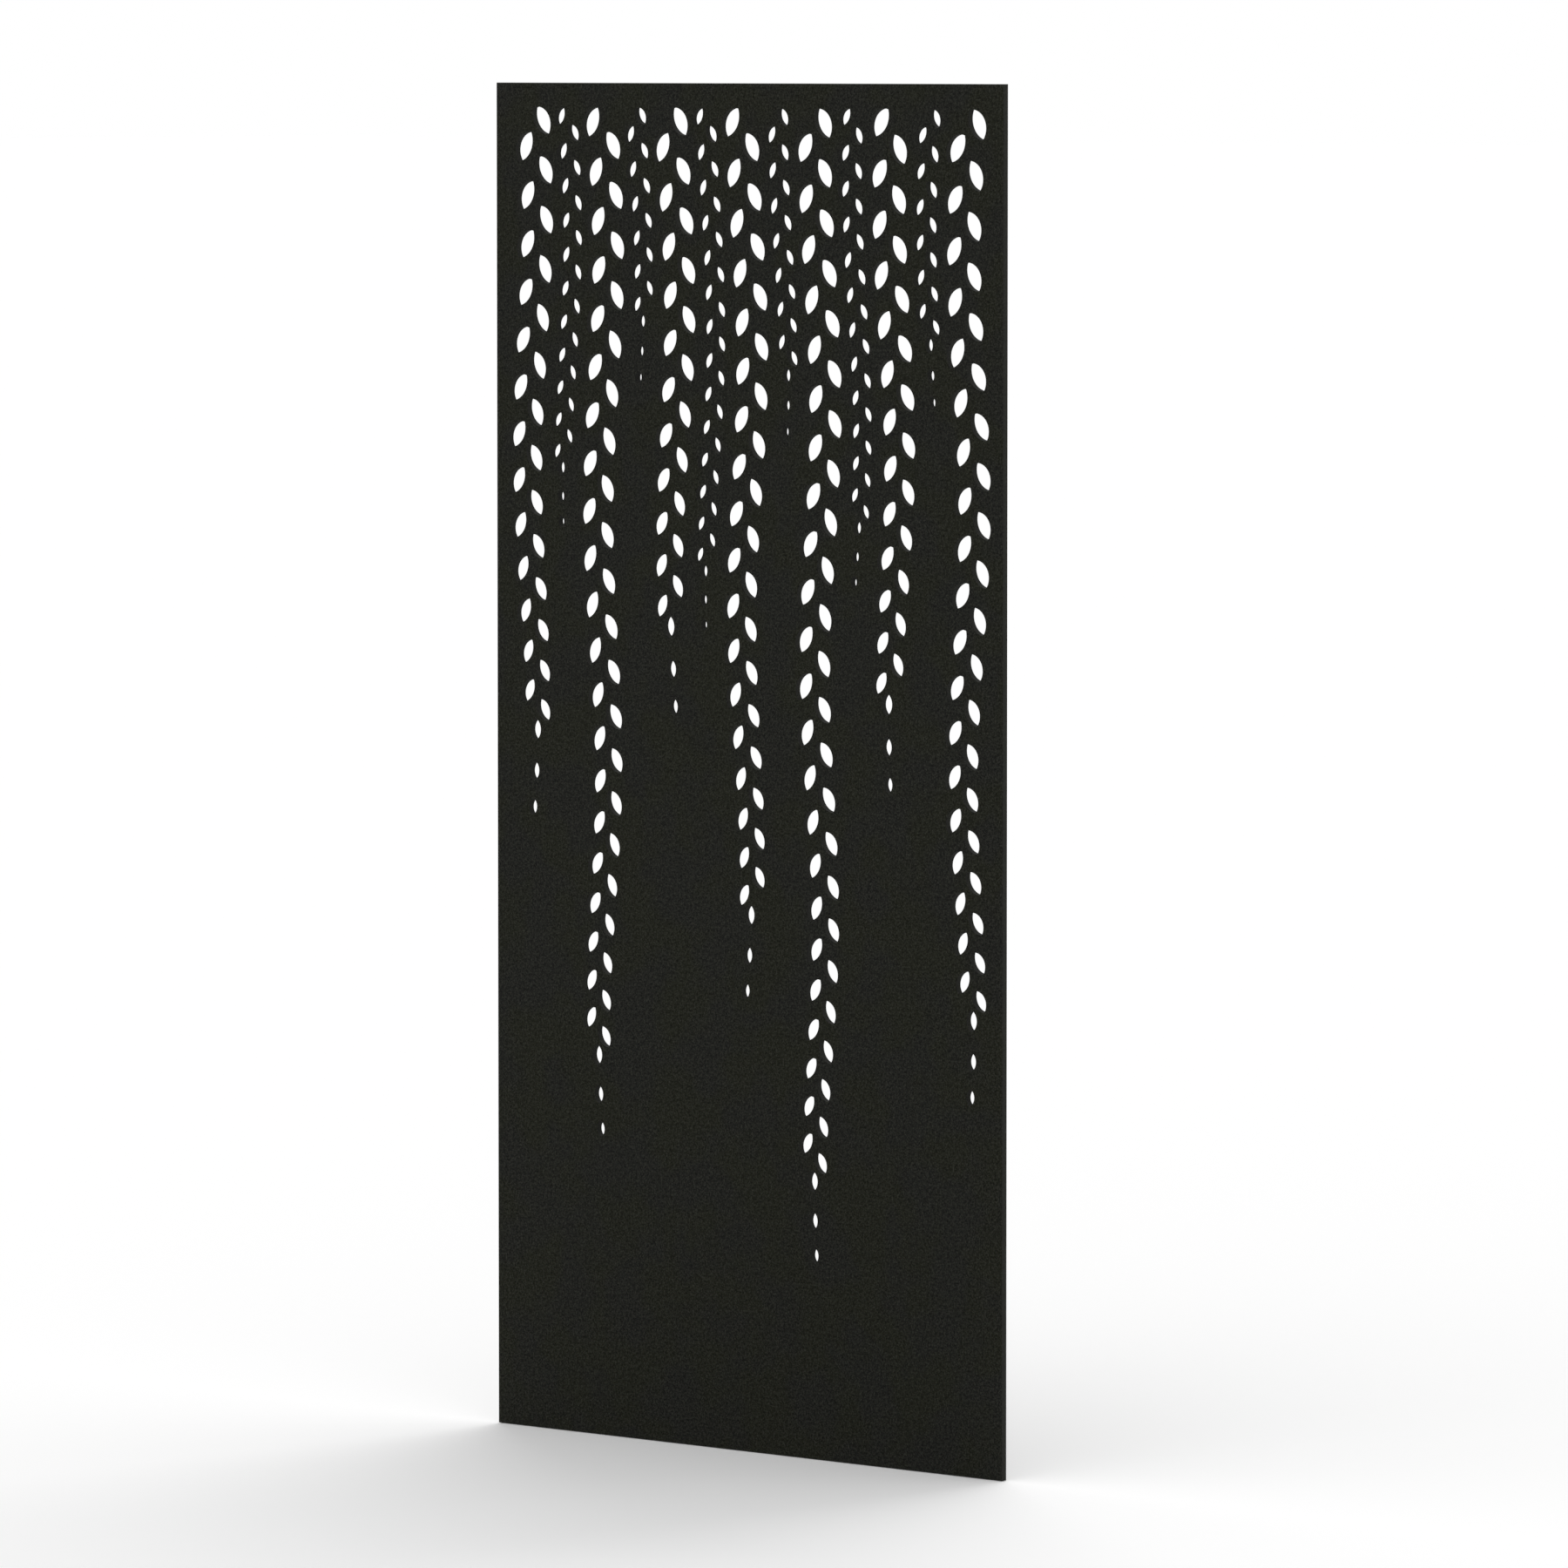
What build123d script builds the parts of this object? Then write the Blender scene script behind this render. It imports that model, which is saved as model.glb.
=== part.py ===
from build123d import *
import os
from math import atan, cos, degrees, pi, radians, sin, tan

# A hanging acoustic screen, in millimetres: one tall board of pressed felt, cut right through with
# hanging garlands of leaves, and two threaded brass inserts sunk in its top edge to hang it by.
# The origin is the middle of the top edge. +X is to the right from the front, +Y is the back, +Z is up.

# Felt board
panel_width = 1200.0
panel_height = 2400.0
panel_thickness = 12.0

# Brass inserts
hanger_spacing = 800.0
insert_length = 26.0
insert_grip_diameter = 7.4
insert_grip_height = 0.6
insert_grip_length = 5.0
insert_grip_count = 3
insert_ridge_count = 20
insert_ridge_depth = 0.3
insert_flange_rim = 0.6
insert_flange_thickness = 1.0
insert_nose_chamfer = 0.6

# Thread of the inserts: M4, at the size it is drilled before tapping
thread_drill_diameter = 3.3
thread_depth = 20.0
thread_mouth_diameter = 4.0
thread_mouth_angle = 90.0
drill_point_angle = 118.0

# Bores that the inserts are pushed into
bore_side_clearance = 0.05
bore_end_clearance = 1.0

# Plain felt round the pattern
side_margin = 24.0
plain_foot = 290.0
web_under_bores = 17.0

# Leaves: bulges are shares of the leaf's length, and the outer one is on the side away from the stem
leaf_length = 60.0
leaf_outer_bulge = 0.35
leaf_inner_bulge = 0.25
leaf_spread = 34.0
web_between_leaves = 13.0
stem_width = 8.0

# Garlands: each reach is a share of the patterned height, and they repeat across the board
garland_reaches = (0.64, 0.91, 0.54, 0.78, 1.00, 0.60, 0.86)
web_between_garlands = 4.0
garland_tip_share = 0.64
taper_power = 2.0

# Sprigs: the short, small-leaved strands that hang between the garlands
sprig_reaches = (0.38, 0.25, 0.46, 0.30, 0.42, 0.27)
sprig_leaf_share = 0.6
sprig_tip_share = 0.8

# Sway of every strand: a sine wave down the board, each strand a little behind its neighbour
sway = 12.0
sway_length = 900.0
sway_lag = 34.0

# Buds that drip from the end of each strand
bud_count = 3
bud_shrink = 0.88
bud_pitch = 1.9

# Sizes that follow from those above
insert_body_diameter = insert_grip_diameter - 2 * insert_grip_height
insert_flange_diameter = insert_grip_diameter + 2 * insert_flange_rim
bore_depth = insert_length + bore_end_clearance
bore_diameter = insert_grip_diameter + 2 * bore_side_clearance
recess_diameter = insert_flange_diameter + 2 * bore_side_clearance
pattern_top = bore_depth + web_under_bores
pattern_height = panel_height - plain_foot - pattern_top
buds_run = bud_pitch * sum(bud_shrink ** (bud + 1) for bud in range(bud_count))
sprig_length = leaf_length * sprig_leaf_share
straight_down = -90.0


def strand_width(length):
    """The width that a strand takes up, without its sway, where its leaves have this length."""
    outer_side = length * leaf_outer_bulge * cos(radians(leaf_spread)) / 2
    return stem_width + 2 * (length * sin(radians(leaf_spread)) + outer_side)


def leaf_wire(x, depth, heading, length, side):
    """A pointed leaf of two arcs from its base. side is 1 right of the stem, -1 left, 0 in line with it."""
    base = Vector(x, -depth)
    tip = base + Vector(length * cos(radians(heading)), length * sin(radians(heading)))
    middle_bulge = (leaf_outer_bulge + leaf_inner_bulge) / 2
    half_difference = side * (leaf_outer_bulge - leaf_inner_bulge) / 2
    with BuildLine() as outline:
        SagittaArc(base, tip, length * (middle_bulge + half_difference))
        SagittaArc(tip, base, length * (middle_bulge - half_difference))
    return outline.wire()


def stem_at(middle, lag, depth):
    """Where the stem of a strand is at this depth, and the heading of the strand there."""
    phase = radians(360 * depth / sway_length - lag)
    lean = atan(2 * pi * sway / sway_length * cos(phase))
    return middle + sway * sin(phase), straight_down + degrees(lean)


def strand(middle, lag, full_length, tip_share, reach, side):
    """The leaves of one strand, in turn on each side and smaller towards its end, and its buds."""
    leaves = []
    end = pattern_top + pattern_height * reach
    depth = pattern_top
    length = full_length
    while depth + length * (1 + buds_run) < end:
        stem, heading = stem_at(middle, lag, depth)
        base = stem + side * stem_width / 2
        leaves.append(leaf_wire(base, depth, heading + side * leaf_spread, length, side))
        breadth = length * (leaf_outer_bulge + leaf_inner_bulge)
        web = web_between_leaves * length / full_length
        depth += (breadth + web) / (2 * sin(radians(leaf_spread)))
        travelled = (depth - pattern_top) / (end - pattern_top)
        length = full_length * (1 - (1 - tip_share) * travelled**taper_power)
        side = -side
    for bud in range(bud_count):
        stem, heading = stem_at(middle, lag, depth)
        length *= bud_shrink
        leaves.append(leaf_wire(stem, depth, heading, length, 0))
        depth += length * bud_pitch
    return leaves


def pattern_wires():
    """Every cut-out of the board: garlands evenly spaced across it, and a sprig between each two."""
    garland_width = strand_width(leaf_length)
    sprig_width = strand_width(sprig_length)
    least_pitch = garland_width + sprig_width + 2 * web_between_garlands
    spread = panel_width - 2 * (side_margin + sway) - garland_width
    gaps = int(spread // least_pitch)
    pitch = spread / gaps
    wires = []
    for place in range(gaps + 1):
        middle = place * pitch - spread / 2
        reach = garland_reaches[place % len(garland_reaches)]
        lag = place * sway_lag
        wires += strand(middle, lag, leaf_length, garland_tip_share, reach, (-1) ** place)
    for place in range(gaps):
        middle = (place + 0.5) * pitch - spread / 2
        reach = sprig_reaches[place % len(sprig_reaches)]
        lag = (place + 0.5) * sway_lag
        wires += strand(middle, lag, sprig_length, sprig_tip_share, reach, (-1) ** (place + 1))
    return wires


def hanger_insert(middle):
    """One brass insert: flange, body with ridged grips, and a blind threaded hole from the top."""
    top = Plane(origin=(middle, 0, 0))
    body_length = insert_length - insert_flange_thickness
    plain_length = body_length - insert_grip_count * insert_grip_length
    grip_gap = plain_length / (insert_grip_count + 1)
    valley_radius = insert_grip_diameter / 2 - insert_ridge_depth
    drill_point_length = thread_drill_diameter / 2 / tan(radians(drill_point_angle / 2))
    with BuildPart() as insert:
        with BuildSketch(top):
            Circle(insert_flange_diameter / 2)
        extrude(amount=-insert_flange_thickness)
        with BuildSketch(top.offset(-insert_flange_thickness)):
            Circle(insert_body_diameter / 2)
        extrude(amount=-body_length)
        nose = insert.edges().filter_by(GeomType.CIRCLE).sort_by(Axis.Z)[0]
        chamfer(nose, insert_nose_chamfer)
        for grip in range(insert_grip_count):
            depth = insert_flange_thickness + grip_gap + grip * (insert_grip_length + grip_gap)
            with BuildSketch(top.offset(-depth)):
                Circle(valley_radius)
                with PolarLocations(valley_radius, insert_ridge_count):
                    Rectangle(2 * insert_ridge_depth, 2 * insert_ridge_depth, rotation=45)
                Circle(insert_grip_diameter / 2, mode=Mode.INTERSECT)
            extrude(amount=-insert_grip_length)
        with Locations(top):
            CounterSinkHole(
                thread_drill_diameter / 2,
                thread_mouth_diameter / 2,
                thread_depth,
                thread_mouth_angle,
            )
            with Locations((0, 0, -thread_depth - drill_point_length / 2)):
                Cone(0, thread_drill_diameter / 2, drill_point_length, mode=Mode.SUBTRACT)
    return insert


# Felt board: one face with every cut-out in it, drawn on the back and given its thickness forwards
with BuildLine() as board_edge:
    Polyline(
        (-panel_width / 2, 0),
        (-panel_width / 2, -panel_height),
        (panel_width / 2, -panel_height),
        (panel_width / 2, 0),
        close=True,
    )
board_face = Face(board_edge.wire(), pattern_wires())
with BuildPart() as felt_panel:
    with BuildSketch(Plane.XZ.offset(-panel_thickness / 2)):
        add(board_face)
    extrude(amount=panel_thickness)
    with GridLocations(hanger_spacing, 0, 2, 1):
        CounterBoreHole(bore_diameter / 2, recess_diameter / 2, insert_flange_thickness, bore_depth)

hanger_insert_left = hanger_insert(-hanger_spacing / 2)
hanger_insert_right = hanger_insert(hanger_spacing / 2)

pieces = {
    "felt_panel": felt_panel,
    "hanger_insert_left": hanger_insert_left,
    "hanger_insert_right": hanger_insert_right,
}
os.makedirs("parts", exist_ok=True)
for name, piece in pieces.items():
    piece.part.label = name
    export_step(piece.part, f"parts/{name}.step")
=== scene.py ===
"""The looks of a hanging acoustic screen: one tall board of pressed charcoal felt, cut through with
garlands of leaves, and the two threaded brass inserts in its top edge.

Everything is in metres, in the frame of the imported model: the origin is the middle of the top edge,
+X is to the right from the front, +Y is the back and +Z is up.
"""

from math import atan2, ceil, cos, hypot, radians, sin, tan, tau

import bmesh
import bpy
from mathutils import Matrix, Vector


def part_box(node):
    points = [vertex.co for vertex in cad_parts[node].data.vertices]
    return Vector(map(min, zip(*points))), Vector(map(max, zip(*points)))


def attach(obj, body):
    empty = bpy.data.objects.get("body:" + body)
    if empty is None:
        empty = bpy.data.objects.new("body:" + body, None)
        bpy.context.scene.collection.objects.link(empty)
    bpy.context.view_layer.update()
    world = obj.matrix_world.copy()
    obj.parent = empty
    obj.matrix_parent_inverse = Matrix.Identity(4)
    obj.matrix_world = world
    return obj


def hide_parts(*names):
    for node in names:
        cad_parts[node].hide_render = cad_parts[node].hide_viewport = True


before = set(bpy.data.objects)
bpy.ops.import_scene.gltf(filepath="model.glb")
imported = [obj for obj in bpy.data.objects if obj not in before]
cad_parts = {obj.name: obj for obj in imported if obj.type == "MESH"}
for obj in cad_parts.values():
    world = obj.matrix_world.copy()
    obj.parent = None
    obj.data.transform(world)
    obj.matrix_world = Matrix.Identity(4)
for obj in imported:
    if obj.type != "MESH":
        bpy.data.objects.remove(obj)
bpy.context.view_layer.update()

MM = 0.001

# Camera, as the perspective of the board's corners in the photograph gives it
camera_place = (12.9815, -14.1356, 0.0676)
camera_target = (0.0928, -0.0060, -1.2202)
camera_lens_mm = 252.146
camera_sensor_mm = 36.0

# Knife-cut edges of the felt, which the press and handling have softened
arris_radius = 0.45 * MM
arris_steps = 1
weld_distance = 0.01 * MM

# Cut-outs: a turn over tip_angle is a pointed tip, one under straight_angle no turn at all
tip_angle = radians(50)
straight_angle = radians(1)
longest_stretch = 3.2 * MM

# Brass inserts: flange, body with ridged grips, and an M4 thread down the middle
insert_nodes = ("hanger_insert_left", "hanger_insert_right")
insert_sides = 80
flange_rim = 0.6 * MM
flange_thickness = 1 * MM
flange_chamfer = 0.15 * MM
grip_count = 3
grip_length = 5 * MM
grip_height = 0.6 * MM
grip_chamfer = 0.2 * MM
ridge_sides = 4
ridge_depth = 0.3 * MM
nose_chamfer = 0.6 * MM
seam_distance = 0.001 * MM
sharp_angle = radians(28)

# Thread: its form is pairs of a share of the pitch and a share of the thread's height
thread_pitch = 0.7 * MM
thread_radius = 2 * MM
thread_drill_radius = 1.65 * MM
thread_depth = 20 * MM
thread_form = ((0, 0), (0.25, 0), (0.5625, 1), (0.6875, 1))
thread_run_out = 0.6 * MM
thread_spare_turns = 2
drill_point_angle = radians(118)

# Bores for the inserts, a little wider than them. A lid reaches bore_lid to either side of its bore.
bore_clearance = 0.05 * MM
bore_end_room = 1 * MM
bore_lid = 7 * MM
bore_sides = 48

# Every noise below is its size, its levels of detail and the roughness of that detail. Its values lie
# round noise_middle, and a range is the part of them that goes smoothly from none to all.
noise_middle = 0.5

# Felt faces
felt_grey = (0.0098, 0.0101, 0.0094, 1)
felt_olive = (0.0108, 0.0116, 0.0063, 1)
felt_black = (0.0022, 0.0023, 0.0019, 1)
felt_pale = (0.0430, 0.0442, 0.0352, 1)
marl_noise = (110 * MM, 2, 0.5)
marl_range = (0.40, 0.60)
tuft_noise = (3.2 * MM, 3, 0.7)
dark_tuft_range = (0.50, 0.38)
dark_tuft_strength = 0.9
pale_tuft_range = (0.52, 0.64)
pale_tuft_strength = 0.65

# Fibres: their headings in degrees, and the length, thickness and width of a strand. The size of
# fibre_noise counts in strands, and that of layer_noise below counts in layers.
fibre_headings = (12, 58, 101, 147)
fibre_size = (14 * MM, 2.2 * MM, 0.55 * MM)
fibre_noise = (1.0, 1, 0.4)
fibre_band = 0.03
fibre_curl = 6 * MM
curl_noise = (9 * MM, 2, 0.5)
patch_noise = (6 * MM, 1, 0.5)
patch_range = (0.38, 0.62)
patch_strengths = (0.2, 0.7)

# Cut edges of the felt: the pressed layers, and the looser core, as deep from the middle as core_depth
felt_cut = (0.0400, 0.0400, 0.0370, 1)
cut_strength = 0.75
layer_size = (2.8 * MM, 0.8 * MM, 2.8 * MM)
layer_noise = (1.0, 4, 0.7)
layer_range = (0.30, 0.66)
core_depth = 3.5 * MM
core_blend = 0.8 * MM
core_strength = 0.15

# Felt surface: relief and gloss
felt_relief = 0.4 * MM
felt_relief_strength = 0.6
tuft_height = 0.6
fibre_height = 0.4
felt_roughness = 0.95
felt_specular = 0.03
felt_sheen = 0.02
felt_sheen_roughness = 0.6

# Brass: a bright metal with cloudy tarnish and the rings that the lathe leaves
brass_bright = (0.72, 0.50, 0.21, 1)
brass_dull = (0.60, 0.40, 0.16, 1)
tarnish_noise = (2.5 * MM, 3, 0.6)
tarnish_range = (0.35, 0.65)
ring_noise = (0.3 * MM, 2, 0.5)
brass_relief = 0.06 * MM
brass_relief_strength = 1.0
brass_roughness = 0.25
ring_roughness = 0.2
tarnish_roughness = 0.15

# Studio
floor_gap = 1 * MM
floor_size = 400.0
floor_grey = 0.92
floor_lift = 0.085
sky_strength = 0.62
key_strength = 1.33
key_spread = radians(48)
key_elevation = radians(41)
key_azimuth = radians(-26)
fill_strength = 0.47
fill_spread = radians(60)
fill_elevation = radians(42)
fill_azimuth = radians(150)


class Value:
    """An output socket. Arithmetic on it adds Math nodes to its tree."""

    def __init__(self, nodes, socket):
        self.nodes = nodes
        self.socket = socket

    def __add__(self, other):
        return self.nodes.math("ADD", self, other)

    def __sub__(self, other):
        return self.nodes.math("SUBTRACT", self, other)

    def __rsub__(self, other):
        return self.nodes.math("SUBTRACT", other, self)

    def __mul__(self, other):
        return self.nodes.math("MULTIPLY", self, other)

    def __neg__(self):
        return self.nodes.math("MULTIPLY", self, -1.0)

    def __abs__(self):
        return self.nodes.math("ABSOLUTE", self)

    __radd__ = __add__
    __rmul__ = __mul__


class Nodes:
    """Adds nodes to one shader tree or geometry tree."""

    def __init__(self, tree):
        self.tree = tree

    def find(self, sockets, name):
        """The socket at a place in the list, or with this identifier, or else with this name."""
        if isinstance(name, int):
            return sockets[name]
        named = [s for s in sockets if s.identifier == name]
        return (named or [s for s in sockets if s.name == name and s.enabled])[0]

    def add(self, kind, settings=None, sockets=None, output=0):
        """A node of this kind. Its settings come first, then the value or links of each socket."""
        node = self.tree.nodes.new(kind)
        for name, value in (settings or {}).items():
            setattr(node, name, value)
        for name, value in (sockets or {}).items():
            socket = self.find(node.inputs, name)
            for each in value if isinstance(value, list) else [value]:
                if isinstance(each, Value):
                    self.tree.links.new(each.socket, socket)
                else:
                    socket.default_value = each
        return Value(self, self.find(node.outputs, output)) if node.outputs else None

    def math(self, operation, *values):
        """A Math node on these values."""
        return self.add("ShaderNodeMath", {"operation": operation}, dict(enumerate(values)))

    def vector(self, operation, *values, **named):
        """A Vector Math node on these values."""
        sockets = dict(enumerate(values)) | named
        return self.add("ShaderNodeVectorMath", {"operation": operation}, sockets)

    def side(self, place, name):
        """One side of a place: X, Y or Z."""
        return self.add("ShaderNodeSeparateXYZ", None, {"Vector": place}, name)

    def joined(self, **sides):
        """A place from its sides X, Y and Z, where one that isn't given is zero."""
        return self.add("ShaderNodeCombineXYZ", None, sides)

    def stretched(self, place, size, turn=0):
        """A place counted in steps of this size, along axes that are turned about Y."""
        sockets = {"Vector": place, "Rotation": (0, turn, 0), "Scale": size}
        return self.add("ShaderNodeMapping", {"vector_type": "TEXTURE"}, sockets)

    def noise(self, place, size, detail, roughness, output="Fac"):
        """Noise whose features are about this size."""
        sockets = {"Vector": place, "Scale": 1 / size, "Detail": detail, "Roughness": roughness}
        return self.add("ShaderNodeTexNoise", None, sockets, output)

    def between(self, value, low, high, start=0.0, end=1.0):
        """The value carried smoothly from the range low to high on to the range start to end."""
        settings = {"interpolation_type": "SMOOTHSTEP"}
        sockets = {"Value": value, "From Min": low, "From Max": high, "To Min": start, "To Max": end}
        return self.add("ShaderNodeMapRange", settings, sockets)

    def colour_mix(self, factor, a, b):
        """A colour from a to b by the factor."""
        sockets = {"Factor_Float": factor, "A_Color": a, "B_Color": b}
        return self.add("ShaderNodeMix", {"data_type": "RGBA"}, sockets, "Result_Color")

    def relief(self, height, depth, strength):
        """The normal of a surface with this height, where a height of 1 is this depth."""
        sockets = {"Strength": strength, "Distance": depth, "Height": height}
        return self.add("ShaderNodeBump", None, sockets, "Normal")


def new_material(name):
    """An empty node material, and what adds nodes to it."""
    material = bpy.data.materials.new(name)
    material.use_nodes = True
    material.node_tree.nodes.clear()
    return material, Nodes(material.node_tree)


def to_surface(nodes, shader):
    """Makes the shader the surface of its material."""
    nodes.add("ShaderNodeOutputMaterial", None, {"Surface": shader})


def fibre_web(nodes, place):
    """Fine fibres that lie in the felt in a few directions, each curled a little."""
    curl = nodes.noise(place, *curl_noise, "Color")
    curled = nodes.vector("MULTIPLY_ADD", curl, (fibre_curl,) * 3, place)
    web = None
    for heading in fibre_headings:
        along = nodes.stretched(curled, fibre_size, radians(heading))
        strands = nodes.noise(along, *fibre_noise)
        fibre = nodes.between(abs(strands - noise_middle), 0.0, fibre_band, 1.0, 0.0)
        web = fibre if web is None else nodes.math("MAXIMUM", web, fibre)
    return web


def pressed_felt(thickness):
    """Pressed felt of recycled fibres: charcoal with an olive cast here and there, and a fine fleck.

    Where it is cut, the layers that it was pressed from show, and its core is a little looser."""
    material, nodes = new_material("pressed_felt")
    place = nodes.add("ShaderNodeTexCoord", output="Object")
    marl = nodes.between(nodes.noise(place, *marl_noise), *marl_range)
    colour = nodes.colour_mix(marl, felt_grey, felt_olive)
    tufts = nodes.noise(place, *tuft_noise)
    dark = nodes.between(tufts, *dark_tuft_range)
    pale = nodes.between(tufts, *pale_tuft_range)
    colour = nodes.colour_mix(dark * dark_tuft_strength, colour, felt_black)
    colour = nodes.colour_mix(pale * pale_tuft_strength, colour, felt_pale)
    web = fibre_web(nodes, place)
    patches = nodes.between(nodes.noise(place, *patch_noise), *patch_range, *patch_strengths)
    colour = nodes.colour_mix(web * patches, colour, felt_pale)

    depth = abs(nodes.side(place, "Y"))
    cut = nodes.between(depth, thickness / 2, thickness / 2 - arris_radius)
    core = nodes.between(depth, core_depth, core_depth - core_blend)
    layers = nodes.noise(nodes.stretched(place, layer_size), *layer_noise)
    cut_colour = nodes.colour_mix(nodes.between(layers, *layer_range), felt_grey, felt_cut)
    cut_colour = nodes.colour_mix(core * core_strength, cut_colour, felt_pale)
    colour = nodes.colour_mix(cut * cut_strength, colour, cut_colour)

    face_height = tufts * tuft_height + web * fibre_height
    heights = {"Factor_Float": cut, "A_Float": face_height, "B_Float": layers}
    height = nodes.add("ShaderNodeMix", None, heights)
    surface = {
        "Base Color": colour,
        "Roughness": felt_roughness,
        "Specular IOR Level": felt_specular,
        "Sheen Weight": felt_sheen,
        "Sheen Roughness": felt_sheen_roughness,
        "Normal": nodes.relief(height, felt_relief, felt_relief_strength),
    }
    to_surface(nodes, nodes.add("ShaderNodeBsdfPrincipled", None, surface))
    return material


def turned_brass(axis_x):
    """Brass as it comes off the lathe: fine rings round the axis of each insert, and a little tarnish.

    The axes of the inserts stand at axis_x to either side of the middle."""
    material, nodes = new_material("turned_brass")
    place = nodes.add("ShaderNodeTexCoord", output="Object")
    x, y, z = (nodes.side(place, name) for name in "XYZ")
    across = abs(x) - axis_x
    radius = nodes.math("SQRT", across * across + y * y)
    rings = nodes.noise(nodes.joined(X=radius, Z=z), *ring_noise)
    tarnish = nodes.between(nodes.noise(place, *tarnish_noise), *tarnish_range)
    surface = {
        "Base Color": nodes.colour_mix(tarnish, brass_bright, brass_dull),
        "Metallic": 1.0,
        "Roughness": rings * ring_roughness + tarnish * tarnish_roughness + brass_roughness,
        "Normal": nodes.relief(rings, brass_relief, brass_relief_strength),
    }
    to_surface(nodes, nodes.add("ShaderNodeBsdfPrincipled", None, surface))
    return material


def linked(name, data):
    """A new object of this data, linked to the scene."""
    made = bpy.data.objects.new(name, data)
    bpy.context.scene.collection.objects.link(made)
    return made


def mesh_of(shape, name, material):
    """A mesh of a finished shape, all in one material."""
    mesh = bpy.data.meshes.new(name)
    shape.to_mesh(mesh)
    shape.free()
    mesh.materials.append(material)
    return mesh


def is_at(face, depth):
    """Whether a face lies flat at this depth."""
    return all(abs(vert.co.y - depth) < weld_distance for vert in face.verts)


def outlines_of(node):
    """The closed outlines of a board's front face as lists of (x, z), with the felt on the left of each."""
    shape = bmesh.new()
    shape.from_mesh(node.data)
    bmesh.ops.remove_doubles(shape, verts=shape.verts, dist=weld_distance)
    front = min(vert.co.y for vert in shape.verts)
    following = {}
    for face in shape.faces:
        if is_at(face, front):
            for corner in face.loops:
                if not is_at(corner.link_loop_radial_next.face, front):
                    following[corner.vert] = corner.link_loop_next.vert
    outlines = []
    while following:
        vert, after = following.popitem()
        outline = [vert]
        while after in following:
            outline.append(after)
            after = following.pop(after)
        outlines.append([(vert.co.x, vert.co.z) for vert in outline])
    shape.free()
    return outlines


def with_arc_points(outline):
    """The outline with a point more over each long stretch of its arcs, out on the arc itself."""
    turns = []
    for place, (x, z) in enumerate(outline):
        before_x, before_z = outline[place - 1]
        next_x, next_z = outline[(place + 1) % len(outline)]
        before = Vector((x - before_x, z - before_z))
        after = Vector((next_x - x, next_z - z))
        turns.append(atan2(before.cross(after), before.dot(after)))
    finer = []
    for place, (x, z) in enumerate(outline):
        next_place = (place + 1) % len(outline)
        run = outline[next_place][0] - x
        rise = outline[next_place][1] - z
        finer.append((x, z))
        both_turns = (turns[place], turns[next_place])
        shallow = [turn for turn in both_turns if straight_angle < abs(turn) < tip_angle]
        if shallow and hypot(run, rise) > longest_stretch:
            # An arc stands off its chord by half the chord times the tangent of a quarter of its turn
            lift = tan(sum(shallow) / len(shallow) / 4) / 2
            finer.append((x + run / 2 + rise * lift, z + rise / 2 - run * lift))
    return finer


def with_lids(outline, top, middles):
    """An outline whose top edge has a short stretch, the lid, over each bore."""
    stops = sorted(middle + way * bore_lid for middle in middles for way in (-1, 1))
    stopped = []
    for (x, z), (next_x, next_z) in zip(outline, outline[1:] + outline[:1]):
        stopped.append((x, z))
        if min(z, next_z) > top - weld_distance:
            passed = [(stop, z) for stop in stops if min(x, next_x) < stop < max(x, next_x)]
            stopped += passed if next_x > x else passed[::-1]
    return stopped


def outline_curve(outlines):
    """A curve object with each outline as a closed spline, drawn flat."""
    curve = bpy.data.curves.new("felt_outlines", "CURVE")
    curve.dimensions = "3D"
    curve.twist_mode = "Z_UP"
    for outline in outlines:
        spline = curve.splines.new("POLY")
        spline.points.add(len(outline) - 1)
        for point, (x, z) in zip(spline.points, outline):
            point.co = (x, z, 0, 1)
        spline.use_cyclic_u = True
    return linked("felt_outlines", curve)


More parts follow.
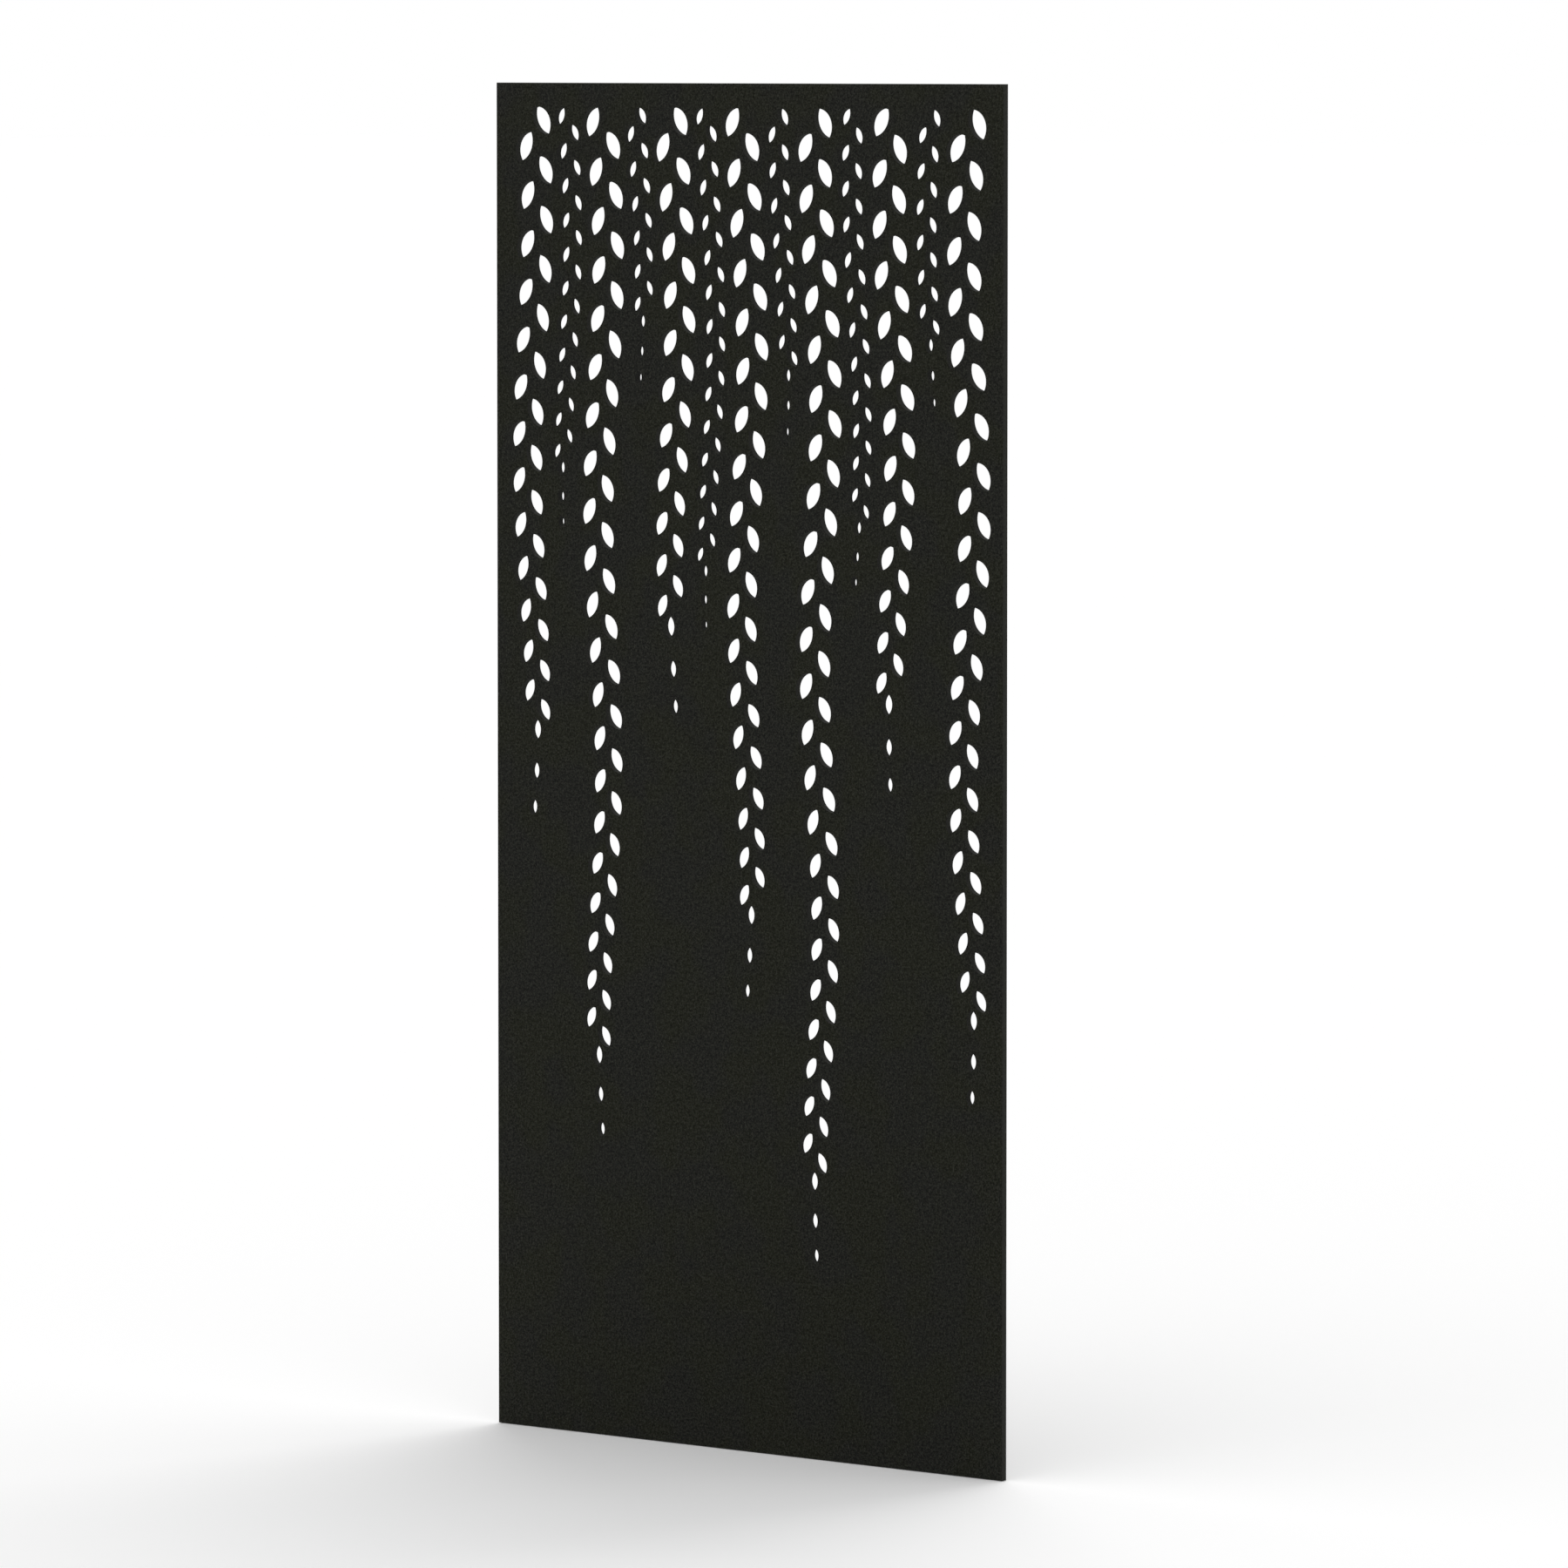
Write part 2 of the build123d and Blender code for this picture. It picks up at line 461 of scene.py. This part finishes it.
def cut_board_tree():
    """Geometry Nodes that make a board from its flat outlines: two faces, and walls with soft arrises.

    The board is made lying down, face up, and is stood up at the end."""
    tree = bpy.data.node_groups.new("cut_board", "GeometryNodeTree")
    sockets = (
        ("Outlines", "INPUT", "NodeSocketGeometry"),
        ("Thickness", "INPUT", "NodeSocketFloat"),
        ("Arris Radius", "INPUT", "NodeSocketFloat"),
        ("Arris Steps", "INPUT", "NodeSocketInt"),
        ("Weld Distance", "INPUT", "NodeSocketFloat"),
        ("Felt", "INPUT", "NodeSocketMaterial"),
        ("Board", "OUTPUT", "NodeSocketGeometry"),
    )
    for name, way, kind in sockets:
        tree.interface.new_socket(name, in_out=way, socket_type=kind)
    nodes = Nodes(tree)
    given = tree.nodes.new("NodeGroupInput")

    def wanted(name):
        return Value(nodes, given.outputs[name])

    def then(kind, settings=None, **sockets):
        named = {name.replace("_", " "): value for name, value in sockets.items()}
        return nodes.add("GeometryNode" + kind, settings, named)

    half = wanted("Thickness") * 0.5
    radius = wanted("Arris Radius")
    outlines = wanted("Outlines")
    inwards = nodes.vector("SCALE", then("InputNormal"), Scale=-radius)
    rim = then("SetPosition", Geometry=outlines, Offset=inwards)
    face = then("FillCurve", {"mode": "TRIANGLES"}, Curve=rim)
    face = then("SetShadeSmooth", Geometry=face, Shade_Smooth=False)
    front = then("Transform", Geometry=face, Translation=nodes.joined(Z=half))
    back = then("Transform", Geometry=face, Translation=nodes.joined(Z=-half))
    back = then("FlipFaces", Mesh=back)

    corners = {
        "Point_1": nodes.joined(X=-radius, Y=-half),
        "Point_2": nodes.joined(Y=-half),
        "Point_3": nodes.joined(Y=half),
        "Point_4": nodes.joined(X=-radius, Y=half),
    }
    edge = then("CurvePrimitiveQuadrilateral", {"mode": "POINTS"}, **corners)
    edge = then("SetSplineCyclic", Geometry=edge, Cyclic=False)
    edge = then("FilletCurve", {"mode": "POLY"}, Curve=edge, Radius=radius, Count=wanted("Arris Steps"))
    walls = then("CurveToMesh", Curve=outlines, Profile_Curve=edge)
    walls = then("SetShadeSmooth", Geometry=walls, Shade_Smooth=True)

    board = then("JoinGeometry", Geometry=[walls, front, back])
    board = then("MergeByDistance", Geometry=board, Distance=wanted("Weld Distance"))
    board = then("Transform", Geometry=board, Rotation=(radians(90), 0, 0))
    board = then("RealizeInstances", Geometry=board)
    board = then("SetMaterial", Geometry=board, Material=wanted("Felt"))
    nodes.add("NodeGroupOutput", None, {"Board": board})
    return tree


def made_by(tree, piece, inputs, name):
    """A plain mesh object of what a Geometry Nodes tree makes of a piece. The piece itself goes."""
    modifier = piece.modifiers.new(tree.name, "NODES")
    modifier.node_group = tree
    identifiers = {
        item.name: item.identifier
        for item in tree.interface.items_tree
        if item.item_type == "SOCKET" and item.in_out == "INPUT"
    }
    for label, value in inputs.items():
        modifier[identifiers[label]] = value
    seen = piece.evaluated_get(bpy.context.evaluated_depsgraph_get())
    mesh = bpy.data.meshes.new_from_object(seen)
    bpy.data.objects.remove(piece)
    mesh.name = name
    return linked(name, mesh)


def round_place(middle, radius, height, side, sides):
    """A place on a circle that has this many sides and lies level above or below the middle."""
    turn = tau * side / sides
    return middle + Vector((radius * cos(turn), radius * sin(turn), height))


def cut_bore(shape, flange_radius, length, middle):
    """Opens the lid over an insert, and lines the stepped bore below it."""

    def heading(vert):
        return atan2(vert.co.y - middle.y, vert.co.x - middle.x) % tau

    lid = min(shape.faces, key=lambda face: (face.calc_center_median() - middle).length)
    corners = sorted(lid.verts, key=heading)
    felt = lid.material_index
    bmesh.ops.delete(shape, geom=[lid], context="FACES_ONLY")
    recess_radius = flange_radius + bore_clearance
    bore_radius = recess_radius - flange_rim
    rings = []
    for radius, depth in (
        (recess_radius, 0),
        (recess_radius, flange_thickness),
        (bore_radius, flange_thickness),
        (bore_radius, length + bore_end_room),
    ):
        places = [round_place(middle, radius, -depth, side, bore_sides) for side in range(bore_sides)]
        rings.append([shape.verts.new(place) for place in places])
    faces = [shape.faces.new(rings[-1])]
    quarter = bore_sides // len(corners)
    for side in range(bore_sides):
        after = (side + 1) % bore_sides
        # The felt round the mouth: each quarter of the mouth fans out from the nearest corner of the lid
        corner = corners[side // quarter]
        faces.append(shape.faces.new((corner, rings[0][after], rings[0][side])))
        if side % quarter == 0:
            faces.append(shape.faces.new((rings[0][side], corners[side // quarter - 1], corner)))
        for upper, lower in zip(rings, rings[1:]):
            faces.append(shape.faces.new((upper[side], upper[after], lower[after], lower[side])))
    for face in faces:
        face.smooth = True
        face.material_index = felt


def part_arrises(mesh, half_thickness):
    """Ends the smooth shading of each arris where the flat face and the flat wall start."""
    depths = [abs(vert.co.y) for vert in mesh.vertices]
    for edge in mesh.edges:
        near, far = (depths[vert] for vert in edge.vertices)
        for start in (half_thickness, half_thickness - arris_radius):
            if abs(near - start) < weld_distance and abs(far - start) < weld_distance:
                edge.use_edge_sharp = True


def felt_board():
    """The felt board, cut from the outlines of its CAD node."""
    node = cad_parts["felt_panel"]
    low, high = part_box("felt_panel")
    thickness = high.y - low.y
    inserts = [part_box(insert) for insert in insert_nodes]
    middles = [(left.x + right.x) / 2 for left, right in inserts]
    outlines = [with_arc_points(outline) for outline in outlines_of(node)]
    outlines = [with_lids(outline, high.z, middles) for outline in outlines]
    inputs = {
        "Thickness": thickness,
        "Arris Radius": arris_radius,
        "Arris Steps": arris_steps,
        "Weld Distance": weld_distance,
        "Felt": pressed_felt(thickness),
    }
    board = made_by(cut_board_tree(), outline_curve(outlines), inputs, "felt_board")
    shape = bmesh.new()
    shape.from_mesh(board.data)
    for (left, right), middle in zip(inserts, middles):
        cut_bore(shape, (right.x - left.x) / 2, right.z - left.z, Vector((middle, 0, high.z)))
    shape.to_mesh(board.data)
    shape.free()
    board.data.set_sharp_from_angle(angle=tip_angle)
    part_arrises(board.data, thickness / 2)
    return board


def insert_stations(flange_radius, length):
    """The outside of an insert from its mouth down to its nose: radius, height, and whether it is ridged."""
    grip_radius = flange_radius - flange_rim
    body_radius = grip_radius - grip_height
    gap = (length - flange_thickness - grip_count * grip_length) / (grip_count + 1)
    stations = [
        (thread_radius, 0, False),
        (flange_radius - flange_chamfer, 0, False),
        (flange_radius, -flange_chamfer, False),
        (flange_radius, -flange_thickness, False),
        (body_radius, -flange_thickness, False),
    ]
    for grip in range(grip_count):
        top = -flange_thickness - gap - grip * (grip_length + gap)
        foot = top - grip_length
        stations += [
            (body_radius, top, False),
            (grip_radius, top - grip_chamfer, True),
            (grip_radius, foot + grip_chamfer, True),
            (body_radius, foot, False),
        ]
    stations.append((body_radius, nose_chamfer - length, False))
    stations.append((body_radius - nose_chamfer, -length, False))
    return stations


def thread_column(side):
    """Radius and height down one side of the thread, whose rows climb a pitch in each turn."""
    full_height = thread_radius - thread_drill_radius
    start = full_height
    turns = ceil((thread_depth - start) / thread_pitch) + thread_spare_turns
    column = []
    for turn in range(turns):
        for along, share in thread_form:
            depth = start + thread_pitch * (turn + along - side / insert_sides)
            depth = min(max(depth, start), thread_depth)
            from_end = min(depth - start, thread_depth - depth)
            height = full_height * share * min(from_end / thread_run_out, 1)
            column.append((thread_drill_radius + height, -depth))
    return column


def brass_insert(node, name, brass):
    """One threaded insert, closed all over, in the place of its CAD node."""
    low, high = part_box(node)
    axis = Vector(((low.x + high.x) / 2, (low.y + high.y) / 2, high.z))
    shape = bmesh.new()

    def corner(side, radius, height):
        return shape.verts.new(round_place(axis, radius, height, side, insert_sides))

    def join(upper, lower):
        for side in range(insert_sides):
            after = (side + 1) % insert_sides
            shape.faces.new((upper[side], upper[after], lower[after], lower[side]))

    rings = []
    for radius, height, ridged in insert_stations((high.x - low.x) / 2, high.z - low.z):
        ring = []
        for side in range(insert_sides):
            valley = ridged and side % ridge_sides >= ridge_sides / 2
            ring.append(corner(side, radius - ridge_depth * valley, height))
        rings.append(ring)
    for upper, lower in zip(rings, rings[1:]):
        join(upper, lower)
    shape.faces.new(rings[-1])

    columns = []
    for side in range(insert_sides):
        columns.append([corner(side, radius, height) for radius, height in thread_column(side)])
    # A full turn round, each row meets the first column a pitch higher up
    columns.append([columns[0][max(row - len(thread_form), 0)] for row in range(len(columns[0]))])
    for near, far in zip(columns, columns[1:]):
        for row in range(len(near) - 1):
            # The last column starts with one corner several times, and a face takes it once
            corners = dict.fromkeys((near[row], far[row], far[row + 1], near[row + 1]))
            shape.faces.new(list(corners))

    # The countersunk mouth above the thread, and the point that the drill leaves below it
    join(rings[0], [column[0] for column in columns])
    point = thread_drill_radius / tan(drill_point_angle / 2)
    tip = shape.verts.new(axis + Vector((0, 0, -thread_depth - point)))
    for near, far in zip(columns, columns[1:]):
        shape.faces.new((near[-1], far[-1], tip))

    bmesh.ops.remove_doubles(shape, verts=shape.verts, dist=seam_distance)
    bmesh.ops.recalc_face_normals(shape, faces=shape.faces)
    for face in shape.faces:
        face.smooth = True
    mesh = mesh_of(shape, name, brass)
    mesh.set_sharp_from_angle(angle=sharp_angle)
    return linked(name, mesh)


def studio_rays(nodes):
    """1 for the rays that see the studio itself, 0 for those that only gather its light."""
    rays = ("Is Camera Ray", "Is Glossy Ray", "Is Transmission Ray")
    seen = [nodes.add("ShaderNodeLightPath", output=ray) for ray in rays]
    return nodes.math("MAXIMUM", nodes.math("MAXIMUM", seen[0], seen[1]), seen[2])


def studio_floor():
    """A white floor that keeps the shadow of the board."""
    material, nodes = new_material("studio_floor")
    grey = (floor_grey, floor_grey, floor_grey, 1)
    diffuse = nodes.add("ShaderNodeBsdfDiffuse", None, {"Color": grey})
    glow = nodes.add("ShaderNodeEmission", None, {"Strength": studio_rays(nodes) * floor_lift})
    to_surface(nodes, nodes.add("ShaderNodeAddShader", None, {0: diffuse, 1: glow}))
    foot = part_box("felt_panel")[0].z
    reach = floor_size / 2
    shape = bmesh.new()
    corners = []
    for x, y in ((-reach, -reach), (reach, -reach), (reach, reach), (-reach, reach)):
        corners.append(shape.verts.new((x, y, foot - floor_gap)))
    shape.faces.new(corners)
    linked("studio_floor", mesh_of(shape, "studio_floor", material))


def studio_sky():
    """Even light from all round, before a white that only the camera and mirrors see."""
    world = bpy.data.worlds.new("studio_sky")
    world.use_nodes = True
    world.node_tree.nodes.clear()
    nodes = Nodes(world.node_tree)
    strength = studio_rays(nodes) * (1 - sky_strength) + sky_strength
    background = nodes.add("ShaderNodeBackground", None, {"Color": (1, 1, 1, 1), "Strength": strength})
    nodes.add("ShaderNodeOutputWorld", None, {"Surface": background})
    bpy.context.scene.world = world


def soft_sun(name, strength, spread, azimuth, elevation):
    """A broad lamp far away. Azimuth 0 is behind the board, and turns towards its right end."""
    lamp = bpy.data.lights.new(name, "SUN")
    lamp.energy = strength
    lamp.angle = spread
    sun = linked(name, lamp)
    sun.rotation_euler = (radians(-90) + elevation, 0, -azimuth)


def photo_camera():
    """The camera at the photograph's viewing angle."""
    camera = linked("photo_camera", bpy.data.cameras.new("photo_camera"))
    camera.data.lens = camera_lens_mm
    camera.data.sensor_width = camera_sensor_mm
    camera.data.clip_end = floor_size
    camera.location = camera_place
    look = Vector(camera_target) - camera.location
    camera.rotation_euler = look.to_track_quat("-Z", "Y").to_euler()
    bpy.context.scene.camera = camera


photo_camera()
bpy.context.scene.view_settings.view_transform = "Standard"
studio_sky()
studio_floor()
soft_sun("key", key_strength, key_spread, key_azimuth, key_elevation)
soft_sun("fill", fill_strength, fill_spread, fill_azimuth, fill_elevation)

board = felt_board()
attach(board, "root")
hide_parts("felt_panel")

low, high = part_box(insert_nodes[-1])
brass = turned_brass((low.x + high.x) / 2)
for node in insert_nodes:
    insert = brass_insert(node, node.replace("hanger", "threaded"), brass)
    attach(insert, "root")
    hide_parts(node)
